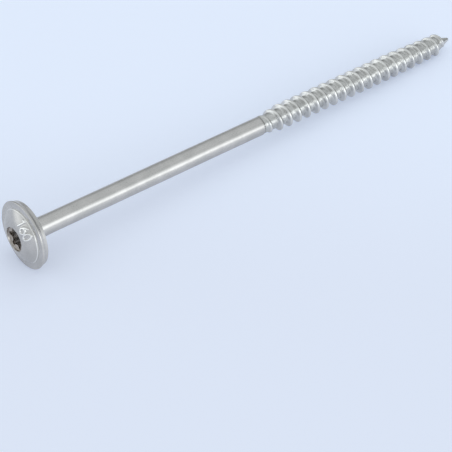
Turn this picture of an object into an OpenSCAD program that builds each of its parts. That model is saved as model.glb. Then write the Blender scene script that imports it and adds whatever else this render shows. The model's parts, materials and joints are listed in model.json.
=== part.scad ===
// Washer-head timber screw, one rolled piece, lying at rest on a floor at z = 0.
// The screw is drawn along +Z from its bearing face, then laid down with its point towards +X.

/* [Overall] */
// Length from the bearing face under the head to the point, mm
screw_len = 160; // [60:1:400]
// Diameter of the plain shank, mm
shank_d = 5.7; // [4:0.1:8]

/* [Head] */
// Diameter of the washer flange, mm
head_d = 20.6; // [14:0.1:30]
// Thickness of the flange at its rim, mm
flange_t = 2.3; // [1:0.1:5]
// How much narrower the rim is at the bearing face, on each side, mm
rim_draft = 0.9; // [0.3:0.1:1.2]
// Rounding of the rim on the bearing side, mm
rim_back_r = 0.3; // [0.1:0.05:0.5]
// Rounding of the rim on the driving side, mm
rim_front_r = 0.4; // [0.2:0.05:0.6]
// Diameter of the dome where it stands on the flange, mm
dome_d = 16.2; // [10:0.1:20]
// Height of the small step at the foot of the dome, mm
dome_step = 0.25; // [0.1:0.05:1]
// Height of the whole dome above the bearing face, mm
dome_h = 5.4; // [4:0.1:8]
// Fillet between the bearing face and the shank, mm
neck_fillet = 0.8; // [0.3:0.1:1.5]
// Extra shank diameter at the neck, under the head, mm
neck_extra = 0.3; // [0.1:0.05:1]
// Length over which the neck tapers to the plain shank, mm
neck_len = 6; // [2:0.5:20]

/* [Drive recess] */
// Six-lobe recess, size across opposite lobes, mm
drive_outer_d = 6.75; // [4.5:0.05:8]
// Six-lobe recess, size across opposite hollows, mm
drive_inner_d = 4.85; // [3.2:0.05:6]
// Radius of each lobe's tip, mm
drive_lobe_r = 0.55; // [0.3:0.05:0.8]
// Depth of the straight recess walls below the mouth's foot, mm
drive_depth = 3.1; // [2:0.1:4]
// Width of the round mouth, which stands clear of the lobes, mm
mouth_d = 7.3; // [4.8:0.05:9]
// Depth of the mouth's steep side, mm
mouth_depth = 0.6; // [0.2:0.05:1]
// How much the mouth narrows over its steep side, on each side, mm
mouth_draft = 0.15; // [0.05:0.05:0.3]
// Further depth of the sloping ledge from the mouth's foot to the hollows, mm
ledge_drop = 0.35; // [0.1:0.05:0.6]
// Turn of the lobes about the screw's axis, degrees
drive_turn = 29; // [0:1:60]

/* [Thread] */
// Outside diameter over the ridge, mm
thread_d = 7.8; // [6:0.1:12]
// Core diameter between the turns, mm
core_d = 5.2; // [3.5:0.1:7]
// Distance from one turn to the next, mm
pitch = 3.6; // [2:0.1:6]
// Threaded length, from the shoulder to the point, mm
thread_len = 78; // [30:0.5:120]
// Width of the ridge at its crest, mm
crest_w = 0.5; // [0.1:0.05:0.6]
// Slope of the ridge's flank towards the head, degrees
flank_head = 22; // [10:1:45]
// Slope of the ridge's flank towards the point, degrees
flank_point = 34; // [10:1:45]
// Turns over which the ridge grows from the shoulder
run_in_turns = 1.95; // [1:0.05:4]
// Length before the point over which the ridge gets lower, mm
lower_len = 24; // [14:1:60]
// Outside diameter over the ridge where its last turn starts to sink, mm
point_thread_d = 6.6; // [6:0.1:8]
// Length over which the last turn sinks into the cone, mm
sink_len = 1.9; // [1.5:0.1:4]
// Length of the sloping shoulder that the thread starts from, mm
shoulder_len = 0.8; // [0.5:0.1:1.2]
// Where round the axis the ridge starts, degrees
start_angle = 187; // [0:1:359]

/* [Point] */
// Length of the point's cone, mm
point_len = 6; // [3:0.5:12]
// Length of plain cone after the ridge has ended, mm
plain_point = 3; // [2:0.1:4]
// Diameter of the blunt end, mm
point_end_d = 1; // [0.8:0.05:1.4]

/* [Hidden] */
$fn = 96;

steel = [0.62, 0.62, 0.61];
head_r = head_d / 2;
shank_r = shank_d / 2;
neck_r = shank_r + neck_extra / 2;
core_r = core_d / 2;
dome_r = dome_d / 2;
dome_foot = flange_t + dome_step;
dome_rise = dome_h - dome_foot;
dome_ball = (dome_r * dome_r + dome_rise * dome_rise) / (2 * dome_rise);
ball_z = dome_ball - dome_h;

// The mouth is where the dome meets the mouth's outer circle.
mouth_r = mouth_d / 2;
mouth_h = sqrt(dome_ball * dome_ball - mouth_r * mouth_r) - ball_z;
floor_h = mouth_h - mouth_depth - drive_depth;
pit_h = drive_inner_d * 0.14;
drive_r = drive_outer_d / 2 - drive_lobe_r;
hollow_d = drive_r * drive_r + drive_inner_d * drive_inner_d / 4 - drive_lobe_r * drive_lobe_r;
hollow_n = hollow_d - drive_r * drive_inner_d * cos(30);
hollow_r = hollow_n / (2 * drive_lobe_r - drive_inner_d + 2 * drive_r * cos(30));
hollow_c = drive_inner_d / 2 + hollow_r;
touch = drive_lobe_r / (drive_lobe_r + hollow_r);

// Heights along the axis: shoulder, first row, full ridge, lowering, cone, last row.
steps = 32;
shoulder_z = screw_len - thread_len;
first_z = shoulder_z - pitch * 0.53;
full_z = shoulder_z + run_in_turns * pitch;
lower_z = screw_len - lower_len;
cone_z = screw_len - point_len;
end_r = point_end_d / 2;
last_z = screw_len - plain_point;
sink_z = last_z - sink_len;
rows = ceil((last_z - first_z) / pitch * steps);

// The exact nose starts sunk in the core's cone and comes out of it before the core ends.
nose_sink = core_d * 0.02;
nose_over = core_d * 0.06;
nose_z = cone_z + point_len / 13;
cone_slope = (core_r - end_r + nose_over) / point_len;

// Radius of the core, and height of the ridge above it, at a height z.
function core_at(z) = z < cone_z ? core_r : core_r - cone_slope * (z - cone_z);
function ease(t) = t < 0 ? 0 : (t > 1 ? 1 : t);
function crest_at(z) = thread_d / 2 + (point_thread_d - thread_d) / 2 * ease((z - lower_z) / (sink_z - lower_z));
function sunk(z) = (crest_at(z) - core_at(z)) * ease((last_z - z) / sink_len);
function ridge_at(z) = sunk(z) * ease((z - shoulder_z) / (full_z - shoulder_z));

// One section of the ridge: middle of the root, foot, crest, crest, foot.
function foot(h, slope) = min(crest_w / 2 + max(h, crest_w / 2) * tan(slope), pitch * 0.47);
function offset_of(j, h) = j == 0 ? -pitch / 2
    : (j == 1 ? -foot(h, flank_head) : (j == 2 ? -crest_w / 2 : (j == 3 ? crest_w / 2 : foot(h, flank_point))));
function rise_of(j, h) = j == 2 || j == 3 ? h : 0;

// A point of row k and place j, on a right-hand helix.
function row_z(k) = first_z + pitch * k / steps;
function spin(k) = start_angle + 360 * k / steps;
function place(z, r, a) = [r * cos(a), r * sin(a), z];
function node_z(k, j) = row_z(k) + offset_of(j, ridge_at(row_z(k)));
function node_r(k, j) = core_at(node_z(k, j)) + rise_of(j, ridge_at(row_z(k)));
function thread_point(k, j) = place(node_z(k, j), node_r(k, j), spin(k));

// Index of place j in row k; the last place of a row is the first place one turn later.
function idx(k, j) = j == 5 ? idx(k + steps, 0) : (k <= rows ? k * 5 + j : (rows + 1) * 5 + k - rows - 1);
start_c = (rows + 1) * 5 + steps;
end_c = start_c + 1;

thread_points = concat(
    [for (k = [0:rows]) for (j = [0:4]) thread_point(k, j)],
    [for (k = [rows + 1:rows + steps]) place(row_z(k) - pitch / 2, core_at(row_z(k) - pitch / 2), spin(k))],
    [[0, 0, row_z(0)], [0, 0, row_z(rows)]]
);

// Faces are clockwise seen from outside: the turns, then the two buried ends.
thread_faces = concat(
    [for (k = [0:rows - 1]) for (j = [0:4]) [idx(k, j), idx(k, j + 1), idx(k + 1, j)]],
    [for (k = [0:rows - 1]) for (j = [0:4]) [idx(k, j + 1), idx(k + 1, j + 1), idx(k + 1, j)]],
    [for (k = [0:steps - 1]) [start_c, idx(k, 0), idx(k + 1, 0)]],
    [for (j = [0:4]) [start_c, idx(0, j + 1), idx(0, j)]],
    [for (k = [0:steps - 1]) [end_c, idx(rows + k + 1, 0), idx(rows + k, 0)]],
    [for (j = [0:4]) [end_c, idx(rows, j), idx(rows, j + 1)]]
);

// The rim's half section, from the driving side to the bearing side. A corner is an arc that
// touches both sides, centred at [x, y], from angle a to angle b.
function arc(x, y, r, a, b) = [for (i = [0:6]) [x + r * cos(a + (b - a) * i / 6), y + r * sin(a + (b - a) * i / 6)]];
draft_a = atan(rim_draft / flange_t);
front_x = head_r - rim_front_r;
side_reach = front_x * cos(draft_a) + (rim_front_r - flange_t) * sin(draft_a) + rim_front_r;
back_x = (side_reach - rim_back_r + rim_back_r * sin(draft_a)) / cos(draft_a);
rim_points = concat(
    arc(front_x, rim_front_r - flange_t, rim_front_r, -90, draft_a),
    arc(back_x, -rim_back_r, rim_back_r, draft_a, 90)
);

// At rest the rim and one crest near the point touch the floor: the lean is found by repeating.
function reach(k, t) = row_z(k) * sin(t) + node_r(k, 3) * cos(spin(k)) * cos(t);
function low_crest(t) = max([for (k = [0:rows]) reach(k, t)]);
function head_lift(t) = max([for (p = rim_points) p[0] * cos(t) + p[1] * sin(t)]);
function lean(t, n) = n == 0 ? t : lean(t + asin((head_lift(t) - low_crest(t)) / screw_len), n - 1);
rest_lean = lean(0, 20);
rest_z = head_lift(rest_lean);
far_x = screw_len * cos(rest_lean);
near_x = -mouth_h * cos(rest_lean) - mouth_r * sin(rest_lean);
mid_x = (far_x + near_x) / 2;

// Half section of the head, with the axis at x = 0 and the bearing face at y = 0.
module head_section() {
    union() {
        polygon(concat([[0, 0]], [[0, -flange_t]], rim_points));
        translate([0, -dome_foot]) square([dome_r, dome_foot / 2]);
        intersection() {
            translate([0, ball_z]) circle(r = dome_ball);
            translate([0, -2 * dome_h]) square([dome_r, 2 * dome_h - dome_foot]);
        }
    }
}

// Half section of the neck: a fillet under the head, then a slow taper.
module neck_section() {
    difference() {
        translate([0, -flange_t / 9]) square([neck_r + neck_fillet, neck_fillet + flange_t / 9]);
        translate([neck_r + neck_fillet, neck_fillet]) circle(r = neck_fillet);
    }
}

module shank() {
    rotate_extrude() neck_section();
    translate([0, 0, neck_fillet]) cylinder(h = neck_len, r1 = neck_r, r2 = shank_r);
    translate([0, 0, neck_fillet + neck_len]) cylinder(h = shoulder_z - neck_fillet - neck_len, r = shank_r);
    translate([0, 0, shoulder_z]) cylinder(h = shoulder_len, r1 = shank_r, r2 = core_r * 0.96);
}

// Six lobes joined by six hollows, each arc touching the next.
module drive_outline() {
    difference() {
        union() {
            circle(r = (drive_r + drive_inner_d / 2) / 2);
            for (a = [0:60:300]) rotate(a) translate([drive_r, 0]) circle(r = drive_lobe_r);
            for (a = [0:60:300]) rotate(a) polygon([
                [0, 0],
                [drive_r + (hollow_c * cos(30) - drive_r) * touch, -hollow_c * sin(30) * touch],
                [drive_r + (hollow_c * cos(30) - drive_r) * touch, hollow_c * sin(30) * touch]
            ]);
        }
        for (a = [30:60:330]) rotate(a) translate([hollow_c, 0]) circle(r = hollow_r);
    }
}

module drive_recess() {
    translate([0, 0, -2 * dome_h]) rotate(drive_turn) linear_extrude(2 * dome_h - floor_h) drive_outline();
    translate([0, 0, -floor_h]) cylinder(h = pit_h, r1 = drive_inner_d * 0.46, r2 = drive_inner_d * 0.08);
    translate([0, 0, -mouth_h]) cylinder(h = mouth_depth, r1 = mouth_r, r2 = mouth_r - mouth_draft);
    translate([0, 0, mouth_depth - mouth_h])
        cylinder(h = ledge_drop, r1 = mouth_r - mouth_draft, r2 = drive_inner_d * 0.47);
    translate([0, 0, -2 * dome_h]) cylinder(h = 2 * dome_h - mouth_h, r = mouth_r);
}

module thread() {
    polyhedron(points = thread_points, faces = thread_faces, convexity = 12);
    translate([0, 0, nose_z])
        cylinder(h = screw_len - nose_z, r1 = core_at(nose_z) - nose_sink, r2 = end_r);
}

module screw() {
    color(steel) translate([-mid_x, 0, rest_z]) rotate([0, 90 + rest_lean, 0]) difference() {
        union() {
            rotate_extrude() head_section();
            shank();
            thread();
        }
        drive_recess();
    }
}

screw();
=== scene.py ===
"""Washer-head timber screw at rest on a pale floor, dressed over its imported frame."""

from __future__ import annotations

import json
import logging
import math
from dataclasses import dataclass, field
from enum import Enum
from typing import Sequence

import bpy
import numpy as np
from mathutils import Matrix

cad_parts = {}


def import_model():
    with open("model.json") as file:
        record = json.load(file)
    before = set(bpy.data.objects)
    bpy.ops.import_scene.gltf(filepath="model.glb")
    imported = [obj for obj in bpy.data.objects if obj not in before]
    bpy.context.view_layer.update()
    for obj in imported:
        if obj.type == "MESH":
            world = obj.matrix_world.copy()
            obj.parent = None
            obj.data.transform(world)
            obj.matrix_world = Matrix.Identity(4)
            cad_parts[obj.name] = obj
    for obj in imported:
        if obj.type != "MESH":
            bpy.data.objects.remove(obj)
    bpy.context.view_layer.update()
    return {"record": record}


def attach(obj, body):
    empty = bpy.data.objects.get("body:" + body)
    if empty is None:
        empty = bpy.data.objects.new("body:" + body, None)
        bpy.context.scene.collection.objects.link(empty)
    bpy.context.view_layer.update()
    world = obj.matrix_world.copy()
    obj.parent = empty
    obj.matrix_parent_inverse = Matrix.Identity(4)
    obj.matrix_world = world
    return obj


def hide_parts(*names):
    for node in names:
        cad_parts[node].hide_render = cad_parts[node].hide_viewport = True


LOG = logging.getLogger("timber_screw")
MM = 0.001
TURN = 2 * math.pi
NODE = "screw"
BODY = "root"

Colour = tuple[float, float, float, float]
Span = tuple[float, float]
Socket = bpy.types.NodeSocket
WHITE: Colour = (1.0, 1.0, 1.0, 1.0)


class Digit(Enum):
    """The raised figures that a head may carry."""

    ONE = "1"
    SIX = "6"
    ZERO = "0"


class Part(Enum):
    """The two surfaces that together make the one rolled piece."""

    HEAD_AND_SHANK = "head_and_shank"
    THREAD = "thread"


def smooth_step(low: float, high: float, x: np.ndarray) -> np.ndarray:
    """Ramp from 0 to 1 with flat ends.

    Args:
        low: Where the ramp starts.
        high: Where the ramp ends.
        x: Places to read it at.

    Returns:
        3 t^2 - 2 t^3, with t the place between low and high, held from 0 to 1.
    """
    t = np.clip((x - low) / (high - low), 0.0, 1.0)
    return t * t * (3 - 2 * t)


def soft_min(a: np.ndarray, b: np.ndarray, round_mm: float) -> np.ndarray:
    """Smaller of two heights with the crease between them rounded.

    Args:
        a: First heights.
        b: Second heights.
        round_mm: How far apart they may be and still be blended.

    Returns:
        min(a, b) less a quarter of the blend's square where they are close.
    """
    near = np.clip(round_mm - np.abs(a - b), 0.0, None)
    return np.minimum(a, b) - near * near / (4 * round_mm)


def soft_max(a: np.ndarray, b: np.ndarray, round_mm: float) -> np.ndarray:
    """Larger of two heights, rounded as soft_min rounds the smaller."""
    return -soft_min(-a, -b, round_mm)


def ripple(a: np.ndarray, b: np.ndarray, seed: int, waves: int = 9, turns: int = 1) -> np.ndarray:
    """Gentle uneven relief on a surface that closes on itself round the axis.

    Args:
        a: Angle round the axis, radians.
        b: Place along the axis, in units of one patch.
        seed: Number that fixes the pattern.
        waves: How many waves are summed.
        turns: Coarsest wave count round the axis.

    Returns:
        Sum of cosines of whole-number multiples of a and free multiples of b, about -1 to 1.
    """
    rng = np.random.default_rng(seed)
    total = np.zeros(np.broadcast(a, b).shape)
    for _ in range(waves):
        around = int(rng.integers(turns, 4 * turns + 3)) * int(rng.choice([-1, 1]))
        along = rng.uniform(0.6, 3.2)
        total += np.cos(around * a + along * b + rng.uniform(0, TURN)) * rng.uniform(0.5, 1.0)
    return total / math.sqrt(waves)


def rounded_path(corners: Sequence[tuple[float, float, float]], steps: int = 7) -> np.ndarray:
    """Carry a straight-sided path round its corners in arcs.

    Args:
        corners: Points (radius, height, rounding), all in mm.
        steps: Points on each arc.

    Returns:
        Path points, one row each. At a corner of rounding q the arc leaves both sides at
        q / tan(half angle).
    """
    pts = np.array([c[:2] for c in corners])
    out = [pts[:1]]
    for before, here, after, (_, _, rounding) in zip(pts[:-2], pts[1:-1], pts[2:], corners[1:-1]):
        inward = (before - here) / np.linalg.norm(before - here)
        outward = (after - here) / np.linalg.norm(after - here)
        half = math.acos(float(np.clip(inward @ outward, -1, 1))) / 2
        middle = (inward + outward) / max(float(np.linalg.norm(inward + outward)), 1e-9)
        centre = here + middle * rounding / math.sin(half)
        start = here + inward * rounding / math.tan(half) - centre
        end = here + outward * rounding / math.tan(half) - centre
        t = np.linspace(0.0, 1.0, steps)[:, None]
        spread = math.acos(float(np.clip(start @ end / rounding**2, -1, 1)))
        arc = (np.sin((1 - t) * spread) * start + np.sin(t * spread) * end) / math.sin(spread)
        out.append(centre + arc)
    out.append(pts[-1:])
    return np.vstack(out)


def refill(path: np.ndarray, longest: float) -> np.ndarray:
    """Add points on a path until no stretch is longer than a limit.

    Args:
        path: Path points, one row each.
        longest: Longest stretch allowed, mm.

    Returns:
        The path with each stretch cut into equal parts.
    """
    out = [path[:1]]
    for a, b in zip(path[:-1], path[1:]):
        parts = max(1, math.ceil(float(np.linalg.norm(b - a)) / longest))
        out.append(a + (b - a) * (np.arange(1, parts + 1) / parts)[:, None])
    return np.vstack(out)


def grid_faces(rows: int, cols: int) -> np.ndarray:
    """Quads of a grid whose last column joins its first.

    Args:
        rows: Points along.
        cols: Points round.

    Returns:
        Four point numbers per face.
    """
    r, c = np.meshgrid(np.arange(rows - 1) * cols, np.arange(cols), indexing="ij")
    right = (c + 1) % cols
    quads = np.stack([r + c, r + right, r + cols + right, r + cols + c], axis=-1)
    return quads.reshape(-1, 4)


def fan_faces(ring: np.ndarray, pole: int, outward: bool) -> np.ndarray:
    """Triangles from a closed ring of points to one point on the axis.

    Args:
        ring: Point numbers of the ring, in order.
        pole: Number of the point on the axis.
        outward: Whether the ring's own order is kept; if not, it is turned round.

    Returns:
        Three point numbers per face.
    """
    following = np.roll(ring, -1)
    first, second = (ring, following) if outward else (following, ring)
    return np.stack([np.full(len(ring), pole), first, second], axis=1)


@dataclass(frozen=True)
class ScrewSizes:
    """Driving dimensions of the screw in mm and radians, the same as the solid's."""

    length: float = 160.0
    shank_d: float = 5.7
    head_d: float = 20.6
    flange_t: float = 2.3
    rim_draft: float = 0.9
    rim_back_r: float = 0.3
    rim_front_r: float = 0.4
    dome_d: float = 16.2
    dome_step: float = 0.25
    dome_h: float = 5.4
    neck_fillet: float = 0.8
    neck_extra: float = 0.3
    neck_len: float = 6.0
    drive_outer_d: float = 6.75
    drive_inner_d: float = 4.85
    drive_lobe_r: float = 0.55
    drive_depth: float = 3.1
    mouth_d: float = 7.3
    mouth_depth: float = 0.6
    mouth_draft: float = 0.15
    ledge_drop: float = 0.35
    drive_turn: float = math.radians(29)
    thread_d: float = 7.8
    core_d: float = 5.2
    pitch: float = 3.6
    thread_len: float = 78.0
    crest_w: float = 0.5
    flank_head: float = math.radians(22)
    flank_point: float = math.radians(34)
    run_in_turns: float = 1.95
    lower_len: float = 24.0
    point_thread_d: float = 6.6
    sink_len: float = 1.9
    shoulder_len: float = 0.8
    start_angle: float = math.radians(187)
    point_len: float = 6.0
    plain_point: float = 3.0
    point_end_d: float = 1.0
    ledge_share: float = 0.47
    cone_share: float = 0.14
    nose_share: float = 12 / 13

    @property
    def dome_foot(self) -> float:
        """Height of the dome's foot above the bearing face."""
        return self.flange_t + self.dome_step

    @property
    def dome_ball(self) -> float:
        """Radius of the ball that the dome is cut from."""
        rise = self.dome_h - self.dome_foot
        return ((self.dome_d / 2) ** 2 + rise**2) / (2 * rise)

    @property
    def mouth_r(self) -> float:
        """Radius of the recess's round mouth where it meets the dome."""
        return self.mouth_d / 2

    @property
    def mouth_h(self) -> float:
        """Height of the recess's mouth above the bearing face."""
        return float(self.dome_height(np.array(self.mouth_r)))

    @property
    def floor_h(self) -> float:
        """Height of the foot of the recess's walls."""
        return self.mouth_h - self.mouth_depth - self.drive_depth

    @property
    def rim_corners(self) -> tuple[float, float]:
        """Radii of the rim's slanted side at the flange's two faces, were its corners sharp."""
        slant = math.atan(self.rim_draft / self.flange_t)
        front = (self.head_d / 2 - self.rim_front_r) * math.cos(slant)
        reach = front + (self.rim_front_r - self.flange_t) * math.sin(slant) + self.rim_front_r
        return reach / math.cos(slant) + self.flange_t * math.tan(slant), reach / math.cos(slant)

    @property
    def shoulder_z(self) -> float:
        """Place of the shoulder where the thread starts."""
        return self.length - self.thread_len

    def dome_height(self, radius: np.ndarray) -> np.ndarray:
        """Height of the ball's surface at a radius."""
        return np.sqrt(self.dome_ball**2 - radius**2) - (self.dome_ball - self.dome_h)


@dataclass(frozen=True)
class Placement:
    """Where the screw's own axes lie in the row frame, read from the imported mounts."""

    origin: np.ndarray
    along: np.ndarray

    @classmethod
    def from_record(cls, record: dict, sizes: ScrewSizes) -> "Placement":
        """Find the bearing face's centre and the axis.

        Args:
            record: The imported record.
            sizes: The screw's dimensions.

        Returns:
            The placement, with its origin one mouth height behind the drive socket.
        """
        mounts = {m["name"]: m for m in record["mounts"]}
        along = np.array(mounts["bearing_face"]["axis"], float)
        along /= np.linalg.norm(along)
        mouth = np.array(mounts["drive_socket"]["pos_m"], float)
        return cls(mouth + along * sizes.mouth_h * MM, along)

    @property
    def lean(self) -> float:
        """How far the axis leans down towards the point, radians."""
        return math.asin(-self.along[2])

    def to_frame(self, local: np.ndarray) -> np.ndarray:
        """Turn the screw's own millimetres into the frame's metres.

        Args:
            local: Points with z along the axis, x down and y to the back.

        Returns:
            The same points in the row frame.
        """
        down = np.array([-math.sin(self.lean), 0.0, -math.cos(self.lean)])
        back = np.array([0.0, 1.0, 0.0])
        turned = local[..., :1] * down + local[..., 1:2] * back + local[..., 2:3] * self.along
        return self.origin + turned * MM


def make_piece(
    name: str,
    points: np.ndarray,
    faces: list[np.ndarray],
    facts: dict[str, np.ndarray],
    finish: bpy.types.Material,
) -> bpy.types.Object:
    """Put a worked-out surface into a mesh that rides with the screw.

    Args:
        name: The piece's name.
        points: Points in the frame, one row each.
        faces: Blocks of faces, each block with one number of corners.
        facts: Values per point to keep as attributes.
        finish: The piece's material.

    Returns:
        The new object, smooth shaded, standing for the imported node.
    """
    mesh = bpy.data.meshes.new(name)
    mesh.from_pydata(points.tolist(), [], [f for block in faces for f in block.tolist()])
    mesh.polygons.foreach_set("use_smooth", np.ones(len(mesh.polygons), dtype=bool))
    for fact, values in facts.items():
        layer = mesh.attributes.new(fact, "FLOAT", "POINT")
        layer.data.foreach_set("value", values.astype(np.float32))
    mesh.materials.append(finish)
    mesh.update()
    piece = bpy.data.objects.new(name, mesh)
    bpy.context.scene.collection.objects.link(piece)
    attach(piece, BODY)
    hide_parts(NODE)
    return piece


@dataclass(frozen=True)
class RaisedNumber:
    """Plain length number that stands up from the dome in a straight row."""

    digits: tuple[Digit, ...] = (Digit.ONE, Digit.SIX, Digit.ZERO)
    up_angle: float = math.radians(-137.83)
    out: float = 6.08
    shift: float = -0.74
    spacing: float = 2.02
    half_height: float = 1.2
    half_width: float = 0.8
    stroke: float = 0.22
    edge: float = 0.16
    rise: float = 0.3
    stem_x: float = 0.1
    flag: Span = (-0.45, 0.5)
    sweep: float = 1.75
    sweep_turn: float = 1.15

    @staticmethod
    def to_segment(x: np.ndarray, y: np.ndarray, a: Span, b: Span) -> np.ndarray:
        """Distance from points to a straight stroke.

        Args:
            x: Places across the digit.
            y: Places up the digit.
            a: One end of the stroke.
            b: The other end.

        Returns:
            Distances, in mm.
        """
        dx, dy = b[0] - a[0], b[1] - a[1]
        t = np.clip(((x - a[0]) * dx + (y - a[1]) * dy) / (dx * dx + dy * dy), 0, 1)
        return np.hypot(x - a[0] - t * dx, y - a[1] - t * dy)

    def distance(self, digit: Digit, x: np.ndarray, y: np.ndarray) -> np.ndarray:
        """Distance from points to the middle line of a digit's strokes.

        Args:
            digit: Which figure.
            x: Places across the digit, mm from its middle.
            y: Places up the digit, mm from its middle.

        Returns:
            Distances: two straight strokes for one, an oval for zero, and a ring with an arc rising
            from its left for six.
        """
        w, h = self.half_width, self.half_height
        if digit is Digit.ONE:
            top = (self.stem_x, h)
            stem = self.to_segment(x, y, (self.stem_x, -h), top)
            flag = self.to_segment(x, y, top, (self.flag[0], h - self.flag[1]))
            return np.minimum(stem, flag)
        if digit is Digit.ZERO:
            out = np.hypot(x / w, y / h)
            steepness = np.maximum(np.hypot(x / w**2, y / h**2), 0.05)
            return np.abs(out - 1) * out / steepness
        bowl = np.abs(np.hypot(x, y + h - w) - w)
        cx, cy = self.sweep - w, w - h
        held = np.clip(np.arctan2(y - cy, cx - x), 0.0, self.sweep_turn)
        tail_x, tail_y = cx - self.sweep * np.cos(held), cy + self.sweep * np.sin(held)
        return np.minimum(bowl, np.hypot(x - tail_x, y - tail_y))

    def relief(self, angle: np.ndarray, radius: np.ndarray) -> np.ndarray:
        """Height that the figures add to the dome.

        Args:
            angle: Angle round the axis, radians.
            radius: Distance from the axis, mm.

        Returns:
            Heights in mm: full inside a stroke, falling smoothly to nothing past its edge.
        """
        total = np.zeros(np.broadcast(angle, radius).shape)
        up = radius * np.cos(angle - self.up_angle) - self.out
        along = radius * np.sin(angle - self.up_angle) - self.shift
        inner, outer = self.stroke - self.edge / 2, self.stroke + self.edge
        for place, digit in enumerate(self.digits):
            middle = (place - (len(self.digits) - 1) / 2) * self.spacing
            far = self.distance(digit, along - middle, up)
            total = np.maximum(total, 1 - smooth_step(inner, outer, far))
        return total * self.rise


@dataclass(frozen=True)
class DriveRecess:
    """Six-lobe recess: lobes of one radius joined by hollows that touch them."""

    sizes: ScrewSizes
    corner: float = 0.1
    hub_share: float = 0.06
    floor_rows: int = 12
    wall_rows: int = 14
    bend_rows: int = 5
    ledge_rows: int = 9
    side_rows: int = 7

    def outline(self, angle: np.ndarray) -> np.ndarray:
        """Radius of the recess's wall round the axis.

        Args:
            angle: Angle round the axis, radians.

        Returns:
            Radius in mm: the far side of a lobe's circle, or past the point where the two circles
            touch, the near side of a hollow's circle.
        """
        s = self.sizes
        half_lobe = math.pi / 6
        lobe_r, lobe_c = s.drive_lobe_r, s.drive_outer_d / 2 - s.drive_lobe_r
        half_in = s.drive_inner_d / 2
        cos30 = math.cos(half_lobe)
        over = lobe_c**2 + half_in**2 - lobe_r**2 - 2 * lobe_c * half_in * cos30
        hollow_r = over / (2 * lobe_r - 2 * half_in + 2 * lobe_c * cos30)
        hollow_c = half_in + hollow_r
        folded = np.abs((angle - s.drive_turn + half_lobe) % (2 * half_lobe) - half_lobe)
        touch = lobe_r / (lobe_r + hollow_r)
        limit = math.atan2(hollow_c * 0.5 * touch, lobe_c + (hollow_c * cos30 - lobe_c) * touch)
        on_lobe = np.minimum(folded, limit)
        lobe_reach = np.clip(lobe_r**2 - (lobe_c * np.sin(on_lobe)) ** 2, 0, None)
        lobe = lobe_c * np.cos(on_lobe) + np.sqrt(lobe_reach)
        from_hollow = half_lobe - np.maximum(folded, limit)
        hollow_reach = np.clip(hollow_r**2 - (hollow_c * np.sin(from_hollow)) ** 2, 0, None)
        hollow = hollow_c * np.cos(from_hollow) - np.sqrt(hollow_reach)
        return np.where(folded <= limit, lobe, hollow)

    def rows(self, angle: np.ndarray) -> tuple[np.ndarray, np.ndarray]:
        """Surface of the recess from its floor to its mouth.

        Args:
            angle: Angles of the columns, radians.

        Returns:
            Radii and heights, one row per ring. The floor is a shallow cone, the lobed wall is
            straight, and past its rounded edge a sloping ledge leads out to the round mouth's side.
        """
        s, q = self.sizes, self.corner
        wall = self.outline(angle)[None, :]
        foot_r, foot_h = s.mouth_r - s.mouth_draft, s.mouth_h - s.mouth_depth
        slope = s.ledge_drop / (foot_r - s.drive_inner_d * s.ledge_share)
        floor_r = np.linspace(self.hub_share, 1.0, self.floor_rows)[:, None] * (wall - q)
        cone = 1 - smooth_step(0.0, s.drive_inner_d / 2, floor_r)
        floor_h = s.floor_h - s.drive_inner_d * s.cone_share * cone
        edge_h = foot_h - slope * (foot_r - wall)
        lift = np.linspace(0.0, 1.0, self.wall_rows)[:, None]
        wall_h = s.floor_h + q + (edge_h - s.floor_h - 2 * q) * lift
        bend = np.linspace(0.0, math.pi / 2, self.bend_rows)[1:, None]
        bend_r = wall + q * (1 - np.cos(bend))
        bend_h = edge_h - q + q * np.sin(bend) + slope * (bend_r - wall)
        start_r = wall + q
        out = np.linspace(0.0, 1.0, self.ledge_rows)[1:, None]
        ledge_r = start_r + (foot_r - start_r) * out
        ledge_h = foot_h - slope * (foot_r - ledge_r)
        up = np.linspace(0.0, 1.0, self.side_rows)[1:-1, None]
        side_r = foot_r + s.mouth_draft * up + 0 * wall
        side_h = foot_h + s.mouth_depth * up + 0 * wall
        radii = [floor_r, wall + 0 * lift, bend_r, ledge_r, side_r]
        return np.vstack(radii), np.vstack([floor_h, wall_h, bend_h, ledge_h, side_h])


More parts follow.
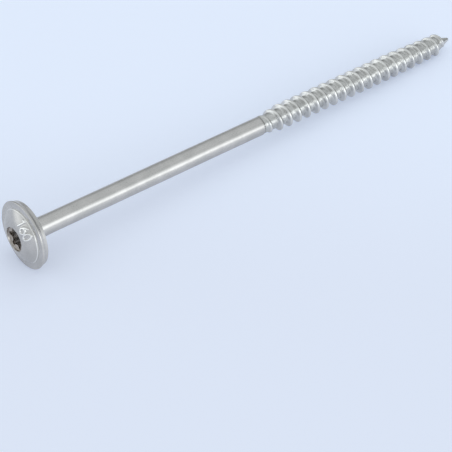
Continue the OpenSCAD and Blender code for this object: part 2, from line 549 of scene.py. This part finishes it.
@dataclass
class HeadAndShank:
    """Forged head with its recess, the neck, and the plain shank down to the thread's shoulder.

    Lengths and roundings are in mm. A fade is the span over which an effect grows, by radius, by
    depth, by distance from a corner, or by height over the recess's mouth.
    """

    sizes: ScrewSizes
    place: Placement
    columns: int = 384
    crowding: float = 0.5
    dome_rows: int = 90
    arc_steps: int = 9
    longest: float = 2.0
    foot_gap: float = 0.25
    join_gap: float = 0.01
    foot_round: float = 0.2
    step_round: float = 0.05
    waist_h: float = 1.2
    waist_in: float = 0.22
    waist_round: float = 1.4
    neck_run: float = 0.3
    neck_round: float = 0.2
    taper_round: float = 2.0
    shoulder_round: float = 0.3
    core_share: float = 0.48
    uneven: float = 0.012
    shank_patch: float = 9.0
    forged_depth: float = -0.2
    forged_fade: Span = (3.0, 9.0)
    shank_fade: Span = (2.0, 8.0)
    # The next span sets how far the painted highlight reaches from the outer corners.
    highlight_fade: Span = (0.1, 0.3)
    # The next three set the painted shade inside the recess.
    mouth_fade: Span = (-0.75, 0.05)
    floor_fade: Span = (-2.4, -1.1)
    floor_share: float = 0.1
    recess: DriveRecess = field(init=False)
    number: RaisedNumber = field(default_factory=RaisedNumber)

    def __post_init__(self) -> None:
        """Build the recess from the same sizes."""
        self.recess = DriveRecess(self.sizes)

    def outer_path(self) -> np.ndarray:
        """Section of the outside from the recess's mouth to the end of the shoulder.

        Returns:
            Points (radius, height above the bearing face): dome, foot, flange, slightly hollow rim,
            bearing face, neck, shank and shoulder. Past the bearing face the height is below zero.
        """
        s = self.sizes
        foot = s.dome_d / 2
        dome_r = np.linspace(s.mouth_r, foot, self.dome_rows)
        dome = np.stack([dome_r, s.dome_height(dome_r)], axis=1)
        leave = foot - self.foot_gap
        front, back = s.rim_corners
        neck, shank = (s.shank_d + s.neck_extra) / 2, s.shank_d / 2
        below = rounded_path(
            [
                (leave, float(s.dome_height(np.array(leave))), 0.0),
                (foot, s.dome_foot, self.foot_round),
                (foot, s.flange_t, self.step_round),
                (front, s.flange_t, s.rim_front_r),
                (back + self.waist_in, self.waist_h, self.waist_round),
                (back, 0.0, s.rim_back_r),
                (neck, 0.0, s.neck_fillet),
                (neck, -s.neck_fillet - self.neck_run, self.neck_round),
                (shank, -s.neck_fillet - s.neck_len, self.taper_round),
                (shank, -s.shoulder_z, self.shoulder_round),
                (s.core_d * self.core_share, -s.shoulder_z - s.shoulder_len, 0.0),
            ],
            steps=self.arc_steps,
        )
        kept = dome[dome[:, 0] < leave - self.join_gap]
        return np.vstack([kept, refill(below, self.longest)])

    def surface(self) -> tuple[np.ndarray, np.ndarray, np.ndarray, np.ndarray]:
        """Rings of the whole piece.

        Returns:
            Angles of the columns, then radii, heights, and how much each grid point is brightened
            as
            painted highlight: the number and the three outer corners. The columns stand closer
                together
            at the number.
        """
        s = self.sizes
        even = np.linspace(0, TURN, self.columns, endpoint=False)
        angle = even - self.crowding * np.sin(even - self.number.up_angle)
        in_r, in_h = self.recess.rows(angle)
        path = self.outer_path()
        out_r = path[:, :1] + 0 * angle
        out_h = path[:, 1:] + 0 * angle
        radius = np.vstack([in_r, out_r])
        height = np.vstack([in_h, out_h])
        on_dome = (np.arange(len(radius)) >= len(in_r))[:, None] & (height > s.dome_foot)
        raised = np.where(on_dome, self.number.relief(angle[None, :], radius), 0.0)
        steep = radius / s.dome_ball
        radius = radius + raised * steep
        height = height + raised * np.sqrt(1 - np.clip(steep, 0, 0.99) ** 2)
        forged = smooth_step(*self.forged_fade, radius) * (height > self.forged_depth)
        height = height + self.uneven * forged * ripple(angle[None, :], radius, seed=4)
        shank = smooth_step(*self.shank_fade, -height)
        patch = height / self.shank_patch
        radius = radius + self.uneven * shank * ripple(angle[None, :], patch, seed=11)
        # Painted highlight: points near the dome's foot, the rim's front edge and the bearing
        # face's edge are brightened in the steel's colour.
        front, back = s.rim_corners
        corners = [(s.dome_d / 2, s.dome_foot), (front, s.flange_t), (back, 0.0)]
        near = np.min([np.hypot(radius - r, height - h) for r, h in corners], axis=0)
        painted_highlight = 1 - smooth_step(*self.highlight_fade, near)
        return angle, radius, height, np.maximum(raised / self.number.rise, painted_highlight)

    def build(self, finish: bpy.types.Material) -> bpy.types.Object:
        """Make the piece.

        Args:
            finish: Steel of the head and the shank.

        Returns:
            The object.
        """
        s = self.sizes
        angle, radius, height, raised = self.surface()
        rows, cols = radius.shape
        # Painted shade in the recess: deep is full on the walls below the mouth and falls to
        # floor_share towards the recess's floor.
        below = height - s.mouth_h
        lit = self.floor_share + (1 - self.floor_share) * smooth_step(*self.floor_fade, below)
        inside = (np.arange(rows) < len(self.recess.rows(angle)[0]))[:, None]
        deep = (1 - smooth_step(*self.mouth_fade, below)) * lit * inside
        local = np.stack([radius * np.cos(angle), radius * np.sin(angle), -height], axis=-1)
        poles = np.array([[0, 0, -height[0].mean() + 0.01], [0, 0, -height[-1, 0]]])
        points = self.place.to_frame(np.vstack([local.reshape(-1, 3), poles]))
        ring, pole = np.arange(cols), rows * cols
        faces = [
            grid_faces(rows, cols),
            fan_faces(ring, pole, outward=False),
            fan_faces(ring + pole - cols, pole + 1, outward=True),
        ]
        facts = {
            "raised": np.append(raised.ravel(), [0, 0]),
            "deep": np.append(deep.ravel(), [1, 0]),
        }
        return make_piece(Part.HEAD_AND_SHANK.value, points, faces, facts, finish)


@dataclass
class Thread:
    """Coarse right-hand thread with its core and point."""

    sizes: ScrewSizes
    place: Placement
    steps: int = 96
    profile: int = 34
    pull: float = 1.5
    lead_in: float = 0.53
    cone_share: float = 0.56
    crest_round: float = 0.12
    foot_round: float = 0.5
    valley_tall: float = 0.5
    # valley_share and the flank values set the painted shade in the valleys and on the head-side
    # flank.
    valley_share: float = 0.6
    flank_fade: Span = (0.25, 0.6)
    flank_reach: float = 0.6
    flank_share: float = 0.4
    dent: float = 0.035
    dent_patch: float = 0.24
    uneven: float = 0.012
    crest_patch: float = 5.0
    nose_cols: int = 64
    nose_steps: int = 8
    nose_longest: float = 0.5
    nose_sunk: float = 0.02
    nose_round: float = 0.3
    nose_hub: float = 0.02

    def core_at(self, z: np.ndarray) -> np.ndarray:
        """Radius of the core: constant, then a cone that ends just inside the nose."""
        s = self.sizes
        slope = (s.core_d * self.cone_share - s.point_end_d / 2) / s.point_len
        return s.core_d / 2 - slope * np.clip(z - (s.length - s.point_len), 0, None)

    def ridge_at(self, z: np.ndarray) -> np.ndarray:
        """Height of the ridge above the core.

        Args:
            z: Places along the axis, mm.

        Returns:
            From the core to the crest, whose radius falls in a straight line towards the point. The
            height grows from the shoulder and sinks into the cone in ramps.
        """
        s = self.sizes
        lower = s.length - s.lower_len
        last = s.length - s.plain_point
        fall = np.clip((z - lower) / (last - s.sink_len - lower), 0, 1)
        crest = s.thread_d / 2 + (s.point_thread_d - s.thread_d) / 2 * fall
        grow = np.clip((z - s.shoulder_z) / (s.run_in_turns * s.pitch), 0, 1)
        return (crest - self.core_at(z)) * grow * np.clip((last - z) / s.sink_len, 0, 1)

    def section(self, u: np.ndarray, ridge: np.ndarray) -> np.ndarray:
        """Height over the core across one pitch.

        Args:
            u: Distance from the ridge's middle, mm, positive towards the point.
            ridge: The ridge's height at the same rows.

        Returns:
            A flat crest between two straight flanks, with its edges and its feet rounded.
        """
        s = self.sizes
        slope = np.where(u < 0, math.tan(s.flank_head), math.tan(s.flank_point))
        flank = (s.crest_w / 2 - np.abs(u)) / slope + ridge
        crest = soft_min(flank, ridge + 0 * u, self.crest_round)
        return soft_max(crest, np.zeros_like(crest), self.foot_round)

    def places(self) -> np.ndarray:
        """Places across one pitch, closer together at the ridge's edges and feet."""
        even = np.linspace(-0.5, 0.5, self.profile, endpoint=False)
        pulled = np.sign(even) * (np.abs(even) * 2) ** self.pull / 2
        return pulled * self.sizes.pitch

    def build(self, finish: bpy.types.Material) -> bpy.types.Object:
        """Make the piece: one helical sheet whose columns join one turn later, and a nose.

        Its attribute tall is the height over the core, by which the steel also brightens the crests
        as painted highlight, and valley says how far a point lies in the valley or at the flank
        towards the head, which the steel darkens as painted shade.

        Args:
            finish: Steel of the thread.

        Returns:
            The object.
        """
        s = self.sizes
        first = s.shoulder_z - s.pitch * self.lead_in
        turns = (s.length - s.plain_point - first) / s.pitch
        rows = math.ceil(turns * self.steps) + 1
        row = np.arange(rows + self.steps)[:, None]
        centre = first + s.pitch * row / self.steps
        angle = s.start_angle + TURN * row / self.steps
        u = self.places()[None, :]
        z = centre + u
        ridge = self.ridge_at(centre)
        tall = self.section(u, ridge)
        # Painted shade: the valleys and the steeper part of the flank towards the head are marked,
        # and the steel darkens them.
        valley = 1 - smooth_step(0.0, self.valley_tall, tall)
        head_side = u < -s.crest_w * self.flank_reach
        flank = self.flank_share * smooth_step(*self.flank_fade, tall) * head_side
        angles = angle + 0 * z
        dents = ripple(angles, z / self.dent_patch, seed=23, waves=30, turns=10)
        waves = ripple(angles, centre / self.crest_patch + 0 * z, seed=31)
        r = self.core_at(z) + tall + self.dent * valley * dents
        r = r + self.uneven * (1 - valley) * waves
        local = np.stack([r * np.cos(angle), r * np.sin(angle), z], axis=-1)
        m = self.profile
        k, j = np.meshgrid(np.arange(rows - 1), np.arange(m), indexing="ij")
        corners = [(k, j), (k + 1, j), (k + 1, j + 1), (k, j + 1)]
        quads = np.stack([self.number(kk, jj) for kk, jj in corners], axis=-1).reshape(-1, 4)
        count = local.shape[0] * m
        caps, cap_points = self.caps(rows, count, centre)
        nose_points, nose_faces = self.nose(count + 2)
        points = np.vstack([local.reshape(-1, 3), cap_points, nose_points])
        blocks = [quads, caps, *nose_faces]
        used = np.unique(np.concatenate([block.ravel() for block in blocks]))
        renumber = np.zeros(len(points), dtype=int)
        renumber[used] = np.arange(len(used))
        extra = np.zeros(2 + len(nose_points))
        shaded = np.maximum(valley * self.valley_share, flank)
        facts = {
            "tall": np.append(tall.ravel(), extra)[used],
            "valley": np.append(shaded.ravel(), extra)[used],
        }
        placed = self.place.to_frame(points[used])
        faces = [renumber[block] for block in blocks]
        return make_piece(Part.THREAD.value, placed, faces, facts, finish)

    def number(self, row: np.ndarray, across: np.ndarray) -> np.ndarray:
        """Point number; one past the last place across is the first place one turn later."""
        over = across == self.profile
        return np.where(over, row + self.steps, row) * self.profile + np.where(over, 0, across)

    def caps(self, rows: int, count: int, centre: np.ndarray) -> tuple[np.ndarray, np.ndarray]:
        """Close both ends of the helical sheet inside the metal.

        Args:
            rows: Rows that carry faces.
            count: Number that the first new point gets.
            centre: Place of each row along the axis.

        Returns:
            Triangles and the two points on the axis that they meet at.
        """
        turn, across = np.arange(self.steps + 1), np.arange(self.profile + 1)
        blocks = []
        for end, row in enumerate((0, rows - 1)):
            along = self.number(row + turn, 0 * turn)
            side = self.number(row + 0 * across, across)
            for line, forward in ((along, end == 1), (side, end == 0)):
                first, second = (line[:-1], line[1:]) if forward else (line[1:], line[:-1])
                blocks.append(np.stack([np.full(len(first), count + end), first, second], axis=1))
        axis_points = np.array([[0, 0, centre[0, 0]], [0, 0, centre[rows - 1, 0]]])
        return np.vstack(blocks), axis_points

    def nose(self, first: int) -> tuple[np.ndarray, list[np.ndarray]]:
        """Plain cone with a rounded end.

        Args:
            first: Number that its first point gets.

        Returns:
            Points, then quads and end triangles.
        """
        s, cols = self.sizes, self.nose_cols
        start = s.length - s.point_len * s.nose_share
        start_r = float(self.core_at(np.array(start))) - s.core_d * self.nose_sunk
        corners = [
            (start_r, start, 0.0),
            (s.point_end_d / 2, s.length, self.nose_round),
            (self.nose_hub, s.length, 0.0),
        ]
        path = refill(rounded_path(corners, self.nose_steps), self.nose_longest)
        angle = np.linspace(0, TURN, cols, endpoint=False)
        r, z = path[:, :1] + 0 * angle, path[:, 1:] + 0 * angle
        grid = np.stack([r * np.cos(angle), r * np.sin(angle), z], axis=-1).reshape(-1, 3)
        poles = np.array([[0, 0, start], [0, 0, s.length]])
        ring, pole = first + np.arange(cols), first + len(path) * cols
        tail = fan_faces(ring, pole, outward=False)
        tip = fan_faces(ring + (len(path) - 1) * cols, pole + 1, outward=True)
        quads = first + grid_faces(len(path), cols)
        return np.vstack([grid, poles]), [quads, np.vstack([tail, tip])]


class NodeBoard:
    """Short hand for placing and joining shader nodes in one tree."""

    def __init__(self, tree: bpy.types.NodeTree) -> None:
        """Clear the tree and keep it."""
        self.tree = tree
        tree.nodes.clear()

    def add(self, kind: str, values: dict | None = None, **settings: object) -> bpy.types.Node:
        """Place a node.

        Args:
            kind: The node's type name.
            values: Numbers or sockets for its inputs, by input name or number.
            **settings: Properties of the node itself.

        Returns:
            The node.
        """
        node = self.tree.nodes.new(kind)
        for key, value in settings.items():
            setattr(node, key, value)
        for key, value in (values or {}).items():
            if isinstance(value, Socket):
                self.tree.links.new(value, node.inputs[key])
            else:
                node.inputs[key].default_value = value
        return node

    def math(self, operation: str, a: object, b: object = 0.0, clamp: bool = False) -> Socket:
        """Place a Math node and give its result."""
        node = self.add("ShaderNodeMath", {0: a, 1: b}, operation=operation, use_clamp=clamp)
        return node.outputs[0]

    def times(self, a: object, b: object) -> Socket:
        """Multiply two values."""
        return self.math("MULTIPLY", a, b)

    def ramp(self, value: object, span: Span, start: float = 0.0, end: float = 1.0) -> Socket:
        """Map a value from a span to start and end in a smooth step, held at both."""
        inputs = {0: value, 1: span[0], 2: span[1], 3: start, 4: end}
        return self.add("ShaderNodeMapRange", inputs, interpolation_type="SMOOTHSTEP").outputs[0]

    def dot(self, direction: Socket, toward: tuple[float, float, float]) -> Socket:
        """Share of a vector that points one way."""
        inputs = {0: direction, 1: toward}
        return self.add("ShaderNodeVectorMath", inputs, operation="DOT_PRODUCT").outputs["Value"]

    def noise(self, place: Socket, scale: float, detail: float, roughness: float) -> Socket:
        """Cloudy value at a place."""
        inputs = {"Vector": place, "Scale": scale, "Detail": detail, "Roughness": roughness}
        return self.add("ShaderNodeTexNoise", inputs).outputs[0]

    def tint(self, share: object, a: object, b: object, blend: str = "MIX") -> Socket:
        """Mix two colours and give the result."""
        inputs = {0: share, 6: a, 7: b}
        return self.add("ShaderNodeMix", inputs, data_type="RGBA", blend_type=blend).outputs[2]


class SteelGroups:
    """Shader node groups that both steel finishes share."""

    def __init__(self) -> None:
        """Build each group once."""
        self.grain = self.make_grain()
        self.drawn = self.make_drawn_lines()

    @staticmethod
    def new_group(name: str, inputs: dict[str, float], outputs: Sequence[str]) -> NodeBoard:
        """Start a group with a vector input, some number inputs and number outputs.

        Args:
            name: The group's name.
            inputs: Names of the number inputs with their first values.
            outputs: Names of the outputs.

        Returns:
            A board to place the group's nodes on.
        """
        tree = bpy.data.node_groups.new(name, "ShaderNodeTree")
        tree.interface.new_socket("Place", in_out="INPUT", socket_type="NodeSocketVector")
        for label, value in inputs.items():
            socket = tree.interface.new_socket(label, in_out="INPUT", socket_type="NodeSocketFloat")
            socket.default_value = value
        for label in outputs:
            tree.interface.new_socket(label, in_out="OUTPUT", socket_type="NodeSocketFloat")
        return NodeBoard(tree)

    def make_grain(self) -> bpy.types.NodeTree:
        """Tumbled grain: cloudy patches, fine speckle and small dents.

        Returns:
            A group with outputs Cloud, Speckle and Height.
        """
        board = self.new_group("tumbled_grain", {"Size": 1.0}, ("Cloud", "Speckle", "Height"))
        source = board.add("NodeGroupInput").outputs
        inputs = {0: source["Place"], "Scale": source["Size"]}
        place = board.add("ShaderNodeVectorMath", inputs, operation="SCALE").outputs[0]
        cloud = board.noise(place, scale=210.0, detail=4.0, roughness=0.6)
        speckle = board.noise(place, scale=2600.0, detail=3.0, roughness=0.65)
        inputs = {"Vector": place, "Scale": 900.0}
        dents = board.add("ShaderNodeTexVoronoi", inputs, feature="SMOOTH_F1")
        dent = board.ramp(dents.outputs["Distance"], (0.0, 0.55))
        height = board.math("ADD", board.times(dent, 0.55), board.times(speckle, 0.45))
        board.add("NodeGroupOutput", {"Cloud": cloud, "Speckle": speckle, "Height": height})
        return board.tree

    def make_drawn_lines(self) -> bpy.types.NodeTree:
        """Fine lines that drawing and rolling leave along or round the metal.

        Returns:
            A group with outputs Lines and Scuffs. Along and Across set the pattern's two scales.
        """
        scales = {"Along": 30.0, "Across": 2400.0}
        board = self.new_group("drawn_lines", scales, ("Lines", "Scuffs"))
        source = board.add("NodeGroupInput").outputs
        stretch = {0: source["Along"], 1: source["Across"], 2: source["Across"]}
        inputs = {0: source["Place"], 1: board.add("ShaderNodeCombineXYZ", stretch).outputs[0]}
        place = board.add("ShaderNodeVectorMath", inputs, operation="MULTIPLY").outputs[0]
        lines = board.noise(place, scale=1.0, detail=3.0, roughness=0.7)
        scuffs = board.noise(place, scale=0.21, detail=2.0, roughness=0.5)
        board.add("NodeGroupOutput", {"Lines": lines, "Scuffs": board.ramp(scuffs, (0.52, 0.72))})
        return board.tree


@dataclass(frozen=True)
class SteelFinish:
    """Satin stainless steel, with its grain and lines.

    Clouds carry the metal between colour and shade. Sunk places turn towards a dark colour that is
    painted shade, and have deeper pits. Risen places turn towards a pale colour that is painted
    highlight, and are smoother.
    """

    name: str
    colour: Colour
    shade: Colour
    # Colour of the painted shade on sunk places.
    painted_shade: Colour
    roughness: float
    rough_spread: float
    grain_size: float
    bump: float
    line_share: float
    sink_fact: str
    rise_fact: str
    sink_share: float
    shine: float
    # Pale colour of the painted highlight on risen places.
    painted_highlight: Colour = (0.90, 0.895, 0.88, 1.0)
    cloud_fade: Span = (0.35, 0.65)
    # The next two set how the speckle mottles the painted shade on sunk places.
    painted_shade_fade: Span = (0.38, 0.6)
    painted_shade_floor: float = 0.45
    speckle_fade: Span = (0.3, 0.7)
    scuff_rough: float = 0.07
    sunk_smooth: float = 0.07
    risen_smooth: float = 0.05
    pit_gain: float = 2.5
    index: float = 2.2

    def material(self, groups: SteelGroups, lean: float) -> bpy.types.Material:
        """Build the material.

        Args:
            groups: The shared node groups.
            lean: How far the screw's axis leans, so that the lines run along it.

        Returns:
            A metal whose colour, roughness and bump come from its place on the screw and from the
            piece's own attributes.
        """
        steel = bpy.data.materials.new(self.name)
        steel.use_nodes = True
        board = NodeBoard(steel.node_tree)
        coords = board.add("ShaderNodeTexCoord").outputs["Object"]
        turned = {"Vector": coords, "Rotation": (0.0, -lean, 0.0)}
        place = board.add("ShaderNodeMapping", turned).outputs[0]
        sized = {"Place": place, "Size": self.grain_size}
        grain = board.add("ShaderNodeGroup", sized, node_tree=groups.grain)
        drawn = board.add("ShaderNodeGroup", {"Place": place}, node_tree=groups.drawn)
        speckle = grain.outputs["Speckle"]
        sunk = board.add("ShaderNodeAttribute", attribute_name=self.sink_fact).outputs["Fac"]
        risen = board.add("ShaderNodeAttribute", attribute_name=self.rise_fact).outputs["Fac"]
        cloud = board.ramp(grain.outputs["Cloud"], self.cloud_fade)
        colour = board.tint(cloud, self.shade, self.colour)
        # Painted shade: sunk places darken towards the dark colour, mottled by the speckle.
        least = self.painted_shade_floor * self.sink_share
        dark = board.times(sunk, board.ramp(speckle, self.painted_shade_fade, least, self.sink_share))
        colour = board.tint(dark, colour, self.painted_shade)
        # Painted highlight: risen places, the figures and outer corners on the head and the crests
        # on the thread, turn pale.
        bright = board.math("MULTIPLY", risen, self.shine, clamp=True)
        colour = board.tint(bright, colour, self.painted_highlight)
        spread = board.ramp(speckle, self.speckle_fade, -self.rough_spread, self.rough_spread)
        rough = board.math("ADD", spread, self.roughness)
        rough = board.math("ADD", rough, board.times(drawn.outputs["Scuffs"], self.scuff_rough))
        rough = board.math("SUBTRACT", rough, board.times(sunk, self.sunk_smooth))
        rough = board.math("SUBTRACT", rough, board.times(risen, self.risen_smooth), clamp=True)
        gain = board.ramp(sunk, (0.0, 1.0), 1.0, self.pit_gain)
        pits = board.times(grain.outputs["Height"], gain)
        height = board.math("ADD", pits, board.times(drawn.outputs["Lines"], self.line_share))
        relief = {"Height": height, "Strength": 1.0, "Distance": self.bump * MM}
        bump = board.add("ShaderNodeBump", relief).outputs[0]
        looks = {"Base Color": colour, "Metallic": 1.0, "Roughness": rough, "IOR": self.index}
        shader = board.add("ShaderNodeBsdfPrincipled", {**looks, "Normal": bump})
        board.add("ShaderNodeOutputMaterial", {"Surface": shader.outputs[0]})
        return steel


FORGED = SteelFinish(
    name="forged_head_steel",
    colour=(0.61, 0.595, 0.587, 1.0),
    # The dark colour below is painted shade on the recess's walls.
    shade=(0.545, 0.535, 0.527, 1.0),
    painted_shade=(0.36, 0.285, 0.22, 1.0),
    roughness=0.25,
    rough_spread=0.03,
    grain_size=1.0,
    bump=0.004,
    line_share=2.4,
    sink_fact="deep",
    # The figures and outer corners are brightened as painted highlight.
    rise_fact="raised",
    sink_share=0.72,
    shine=0.85,
)
ROLLED = SteelFinish(
    name="rolled_thread_steel",
    colour=(0.78, 0.78, 0.77, 1.0),
    shade=(0.60, 0.60, 0.595, 1.0),
    # The dark colour below is painted shade in the valleys and on the head-side flanks.
    painted_shade=(0.33, 0.33, 0.325, 1.0),
    roughness=0.23,
    rough_spread=0.06,
    grain_size=1.3,
    bump=0.03,
    line_share=0.4,
    sink_fact="valley",
    # The crests are brightened by their height as painted highlight.
    rise_fact="tall",
    sink_share=0.75,
    shine=0.3,
)


@dataclass(frozen=True)
class WallGlow:
    """Broad patch of brighter or, with a glow below zero, darker wall, soft on all sides."""

    azimuth: float
    height: float
    spread: float
    tallness: float
    glow: float

    def add(self, board: NodeBoard, direction: Socket, level: Socket) -> Socket:
        """Place the patch's nodes.

        Args:
            board: The world's board.
            direction: Direction from the screw.
            level: Its upward share.

        Returns:
            The patch's strength in each direction: full over its middle, falling to nothing at
            spread radians sideways and at tallness upwards or downwards.
        """
        facing = board.dot(direction, (math.cos(self.azimuth), math.sin(self.azimuth), 0.0))
        sideways = board.ramp(facing, (math.cos(self.spread), 1.0))
        off = board.math("ABSOLUTE", board.math("SUBTRACT", level, self.height))
        upward = board.ramp(off, (0.0, self.tallness), 1.0, 0.0)
        return board.times(board.times(sideways, upward), self.glow)


@dataclass(frozen=True)
class Studio:
    """Pale floor in a pale room whose walls give a soft light.

    The floor has floor_colour and a faint floor_glow, both dimmed by floor_dim away from the light.
    Where the steel mirrors it, its tone is floor_front before the screw and floor_back behind it.
    """

    floor_colour: Colour = (0.80, 0.855, 0.965, 1.0)
    floor_glow: Colour = (0.155, 0.175, 0.23, 1.0)
    floor_dim: Colour = (0.955, 0.94, 0.935, 1.0)
    toward_light: tuple[float, float, float] = (0.63, 0.78, 0.0)
    dim_fade: Span = (-0.07, 0.03)
    floor_front: Colour = WHITE
    floor_back: Colour = (0.72, 0.73, 0.755, 1.0)
    floor_fade: Span = (-0.035, 0.0)
    floor_size: float = 6.0
    room_colour: Colour = (0.95, 0.995, 1.01, 1.0)
    room_glow: float = 0.50
    ceiling_glow: float = 0.26
    ceiling_fade: Span = (0.3, 0.8)
    walls: tuple[WallGlow, ...] = (
        WallGlow(math.radians(-78), 0.30, math.radians(55), 0.62, 1.6),
        WallGlow(math.radians(-122), 0.64, math.radians(34), 0.30, 0.8),
        WallGlow(math.radians(145), 0.08, math.radians(48), 0.48, 0.9),
        WallGlow(math.radians(-172), 0.30, math.radians(48), 0.45, 0.14),
        WallGlow(math.radians(-6), 0.12, math.radians(40), 0.35, -0.24),
        WallGlow(math.radians(62), 0.35, math.radians(36), 0.3, -0.06),
    )

    def build(self) -> None:
        """Make the floor and the world."""
        self.floor()
        world = bpy.data.worlds.new("pale_room")
        world.use_nodes = True
        board = NodeBoard(world.node_tree)
        direction = board.add("ShaderNodeTexCoord").outputs["Generated"]
        level = board.add("ShaderNodeSeparateXYZ", {0: direction}).outputs["Z"]
        ceiling = self.room_glow + self.ceiling_glow
        strength = board.ramp(level, self.ceiling_fade, self.room_glow, ceiling)
        for wall in self.walls:
            strength = board.math("ADD", wall.add(board, direction, level), strength)
        glow = board.add("ShaderNodeBackground", {"Color": self.room_colour, "Strength": strength})
        board.add("ShaderNodeOutputWorld", {"Surface": glow.outputs[0]})
        bpy.context.scene.world = world

    def floor(self) -> bpy.types.Object:
        """Make the floor: a flat square sheet at z = 0.

        Returns:
            The floor.
        """
        half = self.floor_size / 2
        mesh = bpy.data.meshes.new("floor")
        corners = [(-half, -half, 0), (half, -half, 0), (half, half, 0), (-half, half, 0)]
        mesh.from_pydata(corners, [], [(0, 1, 2, 3)])
        paint = bpy.data.materials.new("pale_floor")
        paint.use_nodes = True
        board = NodeBoard(paint.node_tree)
        path = board.add("ShaderNodeLightPath")
        place = board.add("ShaderNodeTexCoord").outputs["Object"]
        depth = board.add("ShaderNodeSeparateXYZ", {0: place}).outputs["Y"]
        mirrored = board.tint(board.ramp(depth, self.floor_fade), self.floor_front, self.floor_back)
        lit = board.ramp(board.dot(place, self.toward_light), self.dim_fade)
        dim = board.tint(lit, self.floor_dim, WHITE)
        plain = board.tint(1.0, self.floor_colour, dim, "MULTIPLY")
        colour = board.tint(path.outputs["Is Glossy Ray"], plain, mirrored)
        paper = board.add("ShaderNodeBsdfDiffuse", {"Color": colour})
        seen = board.math("MAXIMUM", path.outputs["Is Camera Ray"], path.outputs["Is Glossy Ray"])
        seen = board.math("MAXIMUM", path.outputs["Is Transmission Ray"], seen)
        glow = board.tint(1.0, self.floor_glow, dim, "MULTIPLY")
        pale = board.add("ShaderNodeEmission", {"Color": glow, "Strength": seen})
        both = board.add("ShaderNodeAddShader", {0: paper.outputs[0], 1: pale.outputs[0]})
        board.add("ShaderNodeOutputMaterial", {"Surface": both.outputs[0]})
        mesh.materials.append(paint)
        floor = bpy.data.objects.new("floor", mesh)
        bpy.context.scene.collection.objects.link(floor)
        return floor


@dataclass(frozen=True)
class PhotoCamera:
    """Camera at the photograph's viewing angle, level to its horizon."""

    azimuth: float = math.radians(-38.885)
    elevation: float = math.radians(41.614)
    place: tuple[float, float, float] = (-0.26596, -0.31982, 0.33890)
    focal_px: float = 1800.0
    frame_px: float = 452.0
    sensor: float = 36.0
    near: float = 0.01

    def build(self) -> bpy.types.Object:
        """Make the camera, whose lens in mm follows from the focal length in pixels."""
        lens = bpy.data.cameras.new("photo_camera")
        lens.sensor_width = self.sensor
        lens.lens = self.sensor * self.focal_px / self.frame_px
        lens.clip_start = self.near
        camera = bpy.data.objects.new("photo_camera", lens)
        camera.location = self.place
        camera.rotation_euler = (math.pi / 2 - self.elevation, 0.0, self.azimuth)
        bpy.context.scene.collection.objects.link(camera)
        bpy.context.scene.camera = camera
        return camera


def main() -> None:
    """Load the frame, build the screw and its studio, and log each piece's face count."""
    logging.basicConfig(level=logging.INFO, format="%(name)s: %(message)s")
    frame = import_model()
    sizes = ScrewSizes()
    place = Placement.from_record(frame["record"], sizes)
    groups = SteelGroups()
    pieces = (
        HeadAndShank(sizes, place).build(FORGED.material(groups, place.lean)),
        Thread(sizes, place).build(ROLLED.material(groups, place.lean)),
    )
    for piece in pieces:
        LOG.info("%s: %d faces", piece.name, len(piece.data.polygons))
    Studio().build()
    PhotoCamera().build()
    bpy.context.scene.view_settings.view_transform = "Standard"


if __name__ == "__main__":
    main()
